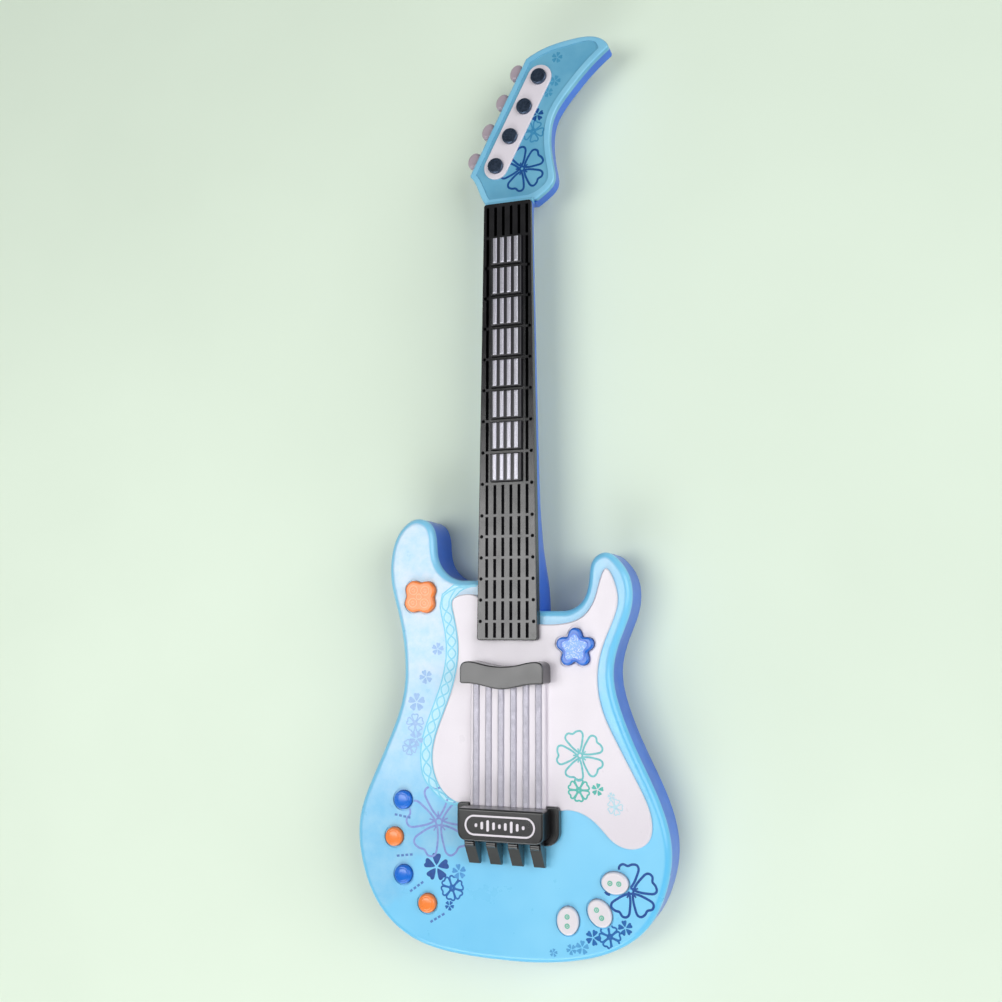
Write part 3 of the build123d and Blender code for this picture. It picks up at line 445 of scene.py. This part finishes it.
class Sheet:
    """Thin printed shapes that share one ink and one surface, each a closed slab, placed in millimetres.

    z is the surface's height in metres. Where ground names a node, the shapes keep off the holes in it.
    """

    def __init__(self, z, thick=PRINT, ground=None):
        self.z = z
        self.top = z + thick
        self.ground = ground
        self.verts = []
        self.faces = []

    def lift(self, points):
        """Adds points at both levels and returns the two starting numbers."""
        low = len(self.verts)
        self.verts += [(p[0] * MM, p[1] * MM, self.z - SINK) for p in points]
        high = len(self.verts)
        self.verts += [(p[0] * MM, p[1] * MM, self.top) for p in points]
        return low, high

    def bare(self, point):
        """True where the print would lie over a hole or a step in the node that carries it."""
        return self.ground is not None and not on_surface(self.ground, point[0], point[1], self.z)

    def fill(self, points):
        """A filled outline, left out where it would cross a hole."""
        if any(self.bare(p) for p in points):
            return
        self.top += LAYER
        count = len(points)
        low, high = self.lift(points)
        self.faces.append([high + k for k in range(count)])
        self.faces.append([low + k for k in reversed(range(count))])
        for k in range(count):
            after = (k + 1) % count
            self.faces.append([low + k, low + after, high + after, high + k])

    def line(self, points, width, closed=True):
        """A line of even width along the points, broken where it would cross a hole."""
        bare = [self.bare(p) for p in points]
        if not any(bare):
            self.stroke(points, width, closed)
            return
        start = bare.index(True) if closed else 0
        for gap, run in groupby(points[start:] + points[:start], key=self.bare):
            run = list(run)
            if not gap and len(run) > 2:
                self.stroke(run, width, closed=False)

    def stroke(self, points, width, closed):
        """A line of even width along the points, without a break."""
        self.top += LAYER
        count = len(points)
        left, right = [], []
        for k in range(count):
            before = points[k - 1] if closed or k > 0 else points[k]
            after = points[(k + 1) % count] if closed or k < count - 1 else points[k]
            along = Vector((after[0] - before[0], after[1] - before[1]))
            side = Vector((-along.y, along.x)).normalized() * width / 2
            left.append((points[k][0] + side.x, points[k][1] + side.y))
            right.append((points[k][0] - side.x, points[k][1] - side.y))
        low_l, high_l = self.lift(left)
        low_r, high_r = self.lift(right)
        last = count if closed else count - 1
        for k in range(last):
            n = (k + 1) % count
            self.faces.append([high_l + k, high_r + k, high_r + n, high_l + n])
            self.faces.append([low_l + k, low_l + n, low_r + n, low_r + k])
            self.faces.append([low_l + k, high_l + k, high_l + n, low_l + n])
            self.faces.append([low_r + k, low_r + n, high_r + n, high_r + k])
        if not closed:
            self.faces.append([low_l, low_r, high_r, high_l])
            self.faces.append([low_l + last, high_l + last, high_r + last, low_r + last])

    def make(self, name, material, body="root"):
        """Adds the shapes to the scene as one piece."""
        piece(name, self.verts, self.faces, material, body)


# One petal's outline: along it and across it, with the flower's size as 1
PETAL = ((0.15, 0.03), (0.33, 0.17), (0.56, 0.29), (0.79, 0.38), (0.93, 0.34), (0.99, 0.20), (0.92, 0.03),
         (0.97, -0.14), (0.94, -0.32), (0.79, -0.38), (0.56, -0.29), (0.33, -0.17), (0.15, -0.03))


def petals(at, size, count, turn, spread=1.0):
    """The outlines of a flower's petals."""
    loops = []
    for k in range(count):
        a = math.radians(turn) + 2 * math.pi * k / count
        along = Vector((math.cos(a), math.sin(a)))
        side = Vector((-along.y, along.x))
        points = [Vector(at) + (along * u + side * v * spread) * size for u, v in PETAL]
        loops.append([tuple(p) for p in smooth_line(points)])
    return loops


def ring(at, radius, count=28):
    """Points round a circle."""
    return [(at[0] + radius * math.cos(2 * math.pi * k / count),
             at[1] + radius * math.sin(2 * math.pi * k / count)) for k in range(count)]


def outline_flower(sheet, at, size, count, turn, width):
    """A flower drawn in line, with a small ring at its middle and a stamen up each petal."""
    for loop in petals(at, size, count, turn):
        sheet.line(loop, width)
    sheet.line(ring(at, size * 0.10), width * 0.9)
    for k in range(count):
        a = math.radians(turn) + 2 * math.pi * k / count
        ends = [(at[0] + r * size * math.cos(a), at[1] + r * size * math.sin(a)) for r in (0.15, 0.22, 0.30)]
        sheet.line(ends, width * 0.7, closed=False)


def solid_flower(sheet, at, size, count, turn):
    """A small filled flower."""
    for loop in petals(at, size, count, turn, 0.9):
        sheet.fill(loop)


# Each row: name, colour, deeper colour, flowers in line, filled flowers
# A flower: x, y and size in mm, petals, turn in degrees and, for one in line, the line's width in mm
FACE_PRINTS = (
    ("print_violet", "8B9EDB", "7488D0", ((-53, -48, 24.5, 5, 95, 1.5),), ()),
    ("print_pale", "93B8E4", "82ACDE",
     ((-72, 20, 6.5, 5, 20, 0.9), (-76, 3, 5.5, 5, 50, 0.8)),
     ((-71, 35, 6.5, 5, 90), (-71, 9, 5.5, 5, 60), (-55, 73, 4.5, 5, 10), (-64, 53, 5, 5, 40))),
    ("print_blue", "16509E", "0E4088", (), ((-54.5, -79, 9.5, 5, 90),)),
    ("print_mid", "1C68B4", "12549E",
     ((-42.5, -92.5, 8.2, 6, 20, 1.2),), ((-44.5, -104.5, 3.4, 5, 60),)),
    ("print_sky", "4E9AD6", "3F8CCB", (), ((-37.5, -81, 5.2, 5, 100),)),
    ("print_deep", "0D4F9E", "083F88", ((84.5, -85, 17.5, 5, 95, 1.6),), ()),
    ("print_group", "1E6CB2", "1458A0",
     ((70, -115.5, 7.2, 6, 10, 1.2),), ((58.5, -117, 5.2, 5, 70), (80.5, -109, 5, 5, 30))),
    ("print_faint", "55A2D6", "4796CC", (),
     ((51, -124, 4.6, 5, 15), (43.5, -126, 3.6, 5, 50), (31, -129.2, 2.8, 5, 10))),
)
GUARD_PRINTS = (
    ("print_teal", "68BFC4", "4FA9B0", ((51, 2, 16.5, 5, 108, 1.4),), ()),
    ("print_mint", "49B7AC", "3AA69C", ((50, -21, 7.4, 6, 30, 1.2),), ((63, -20, 4.2, 5, 80),)),
    ("print_frost", "B9D9E4", "A8CEDD", ((75, -31, 5.2, 5, 0, 0.7),), ((72.5, -24, 2.6, 5, 30),)),
)
HEAD_PRINTS = (
    ("print_navy", "0F4F94", "0A427F", ((8.8, 425, 16.8, 5, 105, 1.6),), ((20.5, 465, 5, 5, 90),)),
    ("print_shade", "3F8DB8", "3581AC", ((17.5, 452.5, 8, 5, 60, 1.1),), ()),
    ("print_haze", "4A97BC", "3F8CB2", (),
     ((29, 481, 3.8, 5, 30), (34.5, 489, 4.2, 5, 70), (36, 507, 4.2, 5, 0))),
)


def print_flowers(rows, node, z):
    """Prints one surface's flowers, one piece for each ink."""
    for name, colour, deeper, lined, filled in rows:
        sheet = Sheet(z, ground=node)
        for x, y, size, count, turn, width in lined:
            outline_flower(sheet, (x, y), size, count, turn, width)
        for x, y, size, count, turn in filled:
            solid_flower(sheet, (x, y), size, count, turn)
        sheet.make(name, ink(name, colour, deeper))


def guard_edge(y):
    """X of the pickguard's left edge at y, found on its own mesh."""
    start = Vector((-0.15, y * MM, (FACE + GUARD) / 2))
    hit, where, _, _ = NODES["pickguard"].ray_cast(start, Vector((1, 0, 0)))
    return where.x / MM if hit else None


def lace_band():
    """A ribbon on the face along the pickguard's left edge, with two rims and a wave between them."""
    edge = [(-25.0, 117.6), (-29.0, 117.4), (-33.5, 116.2), (-37.5, 113.6)]
    edge += [(guard_edge(y), y) for y in (107.0 - LACE_STEP * k for k in range(48))]
    edge = [(x - 0.3, y) for x, y in edge if x is not None]
    out = []
    for k, (x, y) in enumerate(edge):
        before, after = edge[max(k - 1, 0)], edge[min(k + 1, len(edge) - 1)]
        along = Vector((after[0] - before[0], after[1] - before[1])).normalized()
        out.append(Vector((along.y, -along.x)))
    width = []
    for k, ((x, y), o) in enumerate(zip(edge, out)):
        w = LACE_WIDTH * min(1.0, 0.35 + 0.1 * (len(edge) - 1 - k))
        while w > 1.0 and not on_surface("body_front_shell", x + o.x * w, y + o.y * w, FACE):
            w -= 0.5
        width.append(w)

    def along_band(share):
        """Points at a share of the way across the ribbon."""
        return [(x + o.x * w * share, y + o.y * w * share) for (x, y), o, w in zip(edge, out, width)]

    sheet = Sheet(FACE, 0.05 * MM)
    inner, outer = along_band(0.0), along_band(1.0)
    sheet.fill(inner + outer[::-1])
    sheet.make("lace_band", ink("lace_band", "A6DDF2", "B6E3F3"))
    rims = Sheet(FACE + 0.05 * MM, 0.05 * MM)
    rims.line(along_band(0.10), 0.9, closed=False)
    rims.line(along_band(0.96), 1.0, closed=False)
    rims.make("lace_rims", ink("lace_rims", "74CBE8", "66C2E2"))
    waves = Sheet(FACE + 0.06 * MM, 0.05 * MM)
    for shift in (0.0, math.pi):
        points = []
        for k, ((x, y), o, w) in enumerate(zip(edge, out, width)):
            share = 0.54 + 0.30 * math.sin(k * 1.05 + shift)
            points.append((x + o.x * w * share, y + o.y * w * share))
        curve = smooth_line(points, 5, closed=False)
        waves.line([tuple(p) for p in curve], 1.1, closed=False)
    waves.make("lace_wave", ink("lace_wave", "7FD0EA", "70C6E4"))


def button_marks():
    """Short plain dashes by the round buttons, in place of their captions."""
    sheet = Sheet(FACE)
    for x, y, turn in ((-81, -45.5, -8), (-79, -72.5, 8), (-69.5, -93.5, 36), (-53.5, -113.5, 32)):
        a = math.radians(turn)
        for k in range(4):
            at = Vector((x, y)) + Vector((math.cos(a), math.sin(a))) * (k - 1.5) * DASH_STEP
            half = Vector((math.cos(a), math.sin(a))) * DASH_LENGTH / 2
            tall = Vector((-half.y, half.x)).normalized() * DASH_HEIGHT / 2
            sheet.fill([tuple(at - half - tall), tuple(at + half - tall),
                        tuple(at + half + tall), tuple(at - half + tall)])
    sheet.make("button_marks", ink("button_marks", "5B86C6", "4B76B8"))


def top_centre(node):
    """Centre of a node's top, in millimetres, and its height in metres."""
    low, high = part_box(node)
    return ((low.x + high.x) / 2 / MM, (low.y + high.y) / 2 / MM), high.z


def dome(name, at, z, radius, height, material, body):
    """A shallow lens on a button's top."""
    rings, sides = 7, 36
    verts = [(at[0] * MM, at[1] * MM, z + height * MM)]
    faces = []
    for r in range(1, rings + 1):
        share = r / rings
        level = z + height * MM * math.cos(share * math.pi / 2)
        verts += [(x * MM, y * MM, level) for x, y in ring(at, radius * math.sin(share * math.pi / 2), sides)]
    for k in range(sides):
        n = (k + 1) % sides
        faces.append([0, 1 + k, 1 + n])
        for r in range(rings - 1):
            a, b = 1 + r * sides, 1 + (r + 1) * sides
            faces.append([a + k, b + k, b + n, a + n])
    last = 1 + (rings - 1) * sides
    faces.append([last + k for k in reversed(range(sides))])
    piece(name, verts, faces, material, body, smooth=True)


def button_details(materials):
    """Lenses on the round buttons, the star's glitter panel, the flower's ring and the ovals' marks."""
    for k in range(1, 5):
        node = f"round_button_{k}"
        at, z = top_centre(node)
        slot = SLOT_OF[node]
        dome(f"round_lens_{k}", at, z - 0.02 * MM, LENS_RADIUS, LENS_HEIGHT, materials[slot], node)
    at, z = top_centre("star_button")
    at = (at[0], at[1] - STAR_DROP)
    star = []
    for k in range(60):
        a = math.pi / 2 + 2 * math.pi * k / 60
        r = STAR_RADIUS + STAR_DEPTH * math.cos(5 * 2 * math.pi * k / 60)
        star.append((at[0] + r * math.cos(a), at[1] + r * math.sin(a)))
    panel = Sheet(z - 0.01 * MM, 0.25 * MM)
    panel.fill(star)
    panel.make("star_panel", glitter_blue(), "star_button")
    edge = Sheet(z, 0.4 * MM)
    edge.line(star, 0.7)
    edge.make("star_edge", ink("star_edge", "1A6CDA", "1460CE"), "star_button")
    at, z = top_centre("flower_button")
    bloom = Sheet(z, 0.16 * MM)
    for k in range(4):
        a = math.radians(42 + 90 * k)
        lobe = (at[0] + BLOOM_REACH * math.cos(a), at[1] + BLOOM_REACH * math.sin(a))
        bloom.line(ring(lobe, BLOOM_RING, 24), 0.8)
        bloom.line(ring(lobe, BLOOM_EYE, 14), 0.7)
    bloom.line(ring(at, BLOOM_HEART, 18), 0.8)
    bloom.make("flower_relief", ink("flower_relief", "FFB27E", "FFA870"), "flower_button")
    green = ink("oval_ink", "7CC4AE", "68B49C")
    for k, turn in ((1, 0), (2, -55), (3, 90)):
        node = f"oval_button_{k}"
        at, z = top_centre(node)
        marks = Sheet(z - 0.01 * MM, 0.12 * MM)
        along = Vector((math.cos(math.radians(turn)), math.sin(math.radians(turn))))
        for side in (-1, 1):
            spot = tuple(Vector(at) + along * OVAL_REACH * side)
            marks.line(ring(spot, OVAL_RING, 20), 0.9)
            marks.fill(ring(spot, OVAL_DOT, 14))
        marks.make(f"oval_mark_{k}", green, node)


def make_floor():
    """The plain pale floor, far past the view."""
    mesh = bpy.data.meshes.new("floor")
    corners = [(x * FLOOR_REACH, y * FLOOR_REACH, 0) for x, y in ((-1, -1), (1, -1), (1, 1), (-1, 1))]
    mesh.from_pydata(corners, [], [(0, 1, 2, 3)])
    mesh.materials.append(floor_material())
    floor = bpy.data.objects.new("floor", mesh)
    bpy.context.scene.collection.objects.link(floor)


set_camera()
set_light()
make_floor()
MATERIALS = slot_materials()
dress_nodes(MATERIALS)
print_flowers(FACE_PRINTS, "body_front_shell", FACE)
print_flowers(GUARD_PRINTS, "pickguard", GUARD)
print_flowers(HEAD_PRINTS, "headstock_front", FIELD)
lace_band()
button_marks()
button_details(MATERIALS)
